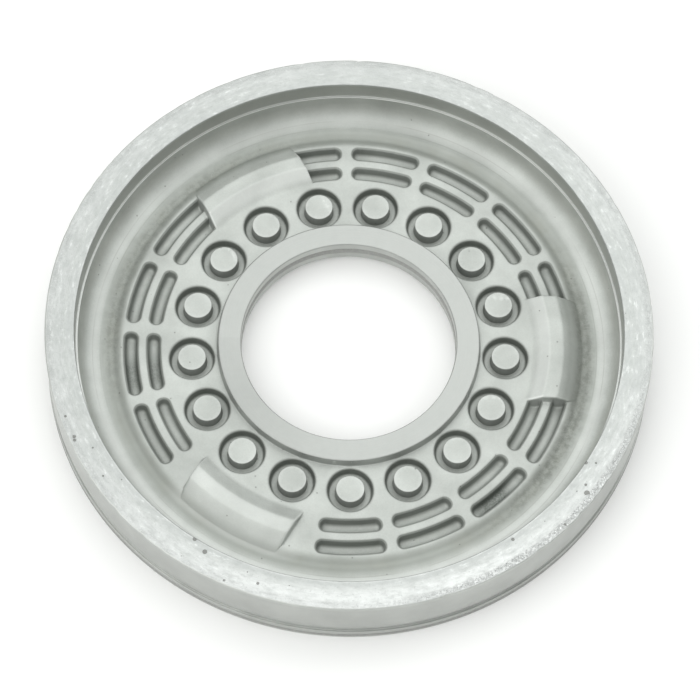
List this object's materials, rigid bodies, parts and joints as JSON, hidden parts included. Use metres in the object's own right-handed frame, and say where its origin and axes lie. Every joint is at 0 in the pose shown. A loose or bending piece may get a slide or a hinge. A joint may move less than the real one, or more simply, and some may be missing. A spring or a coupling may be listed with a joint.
{
  "type": "automatic transmission clutch apply piston",
  "caption": "Dished die-cast aluminium ring piston with round spring pockets, curved slots and rubber lip seals.",
  "frame": {"origin": "on the piston's axis, in the plane of the pressure face that it rests on", "axes": "+Z along the piston's axis towards the spring side, +X through the middle of one cast pad"},
  "size_m": [0.1654, 0.1654, 0.02],
  "materials": {
    "cast_aluminium": "as-cast with turned rim, ring and lands",
    "seal_rubber": "moulded grey elastomer, satin"
  },
  "bodies": {
    "root": {"piston_casting": "cast_aluminium", "inner_lip_seal": "seal_rubber", "outer_lip_seal": "seal_rubber"}
  },
  "joints": []
}
